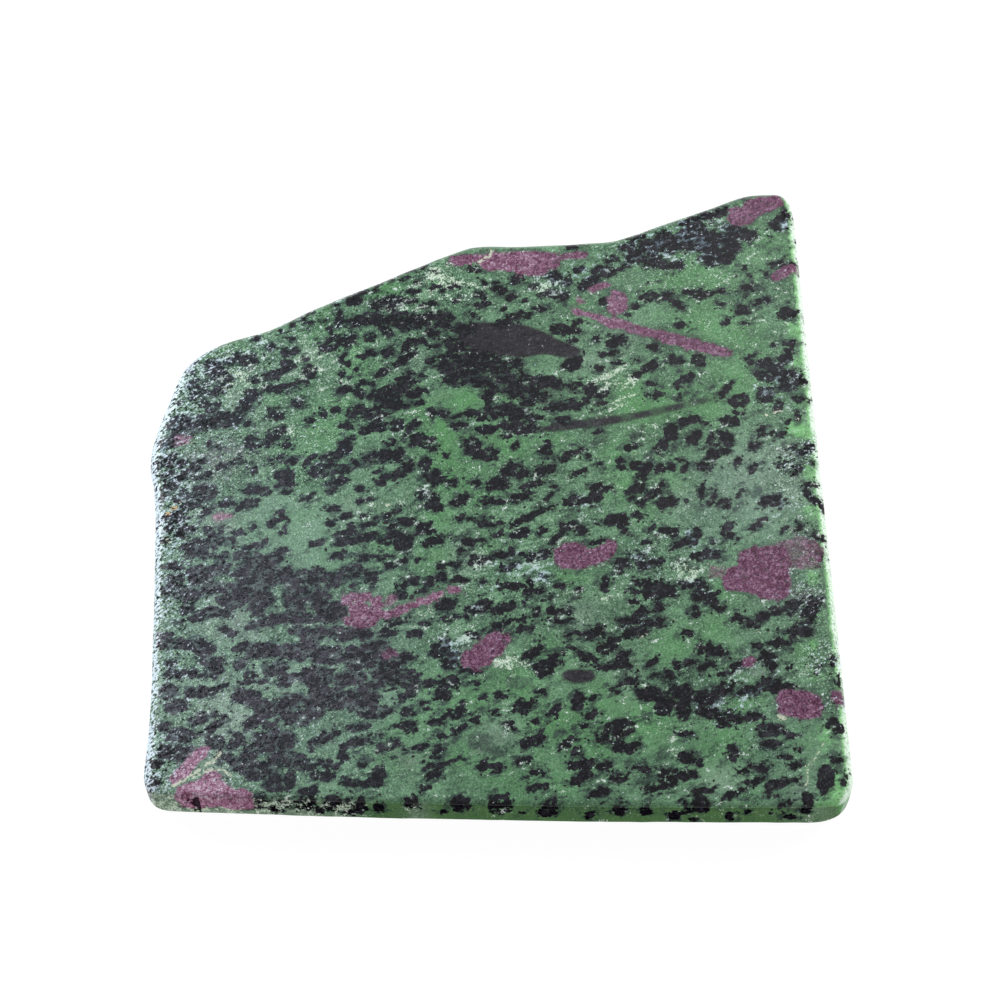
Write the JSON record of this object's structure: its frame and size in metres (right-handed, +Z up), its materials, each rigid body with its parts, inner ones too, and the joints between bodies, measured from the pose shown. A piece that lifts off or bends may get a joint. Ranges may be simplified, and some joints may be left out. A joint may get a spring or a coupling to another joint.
{
  "type": "ruby in zoisite slab",
  "caption": "Flat polished slab of green zoisite with dark hornblende and ruby crystals, three sawn edges and one natural edge, for display or lapidary use.",
  "frame": {"origin": "middle of the slab's outline, on the underside it lies on", "axes": "+Z up through the slab's thickness; +X to the right along the straight front edge; +Y from the front edge towards the natural edge"},
  "size_m": [0.1048, 0.1068, 0.007],
  "materials": {
    "polished_stone": "polished green zoisite with black hornblende grains and purple-red ruby crystals"
  },
  "bodies": {
    "root": {"slab": "polished_stone"}
  },
  "joints": []
}
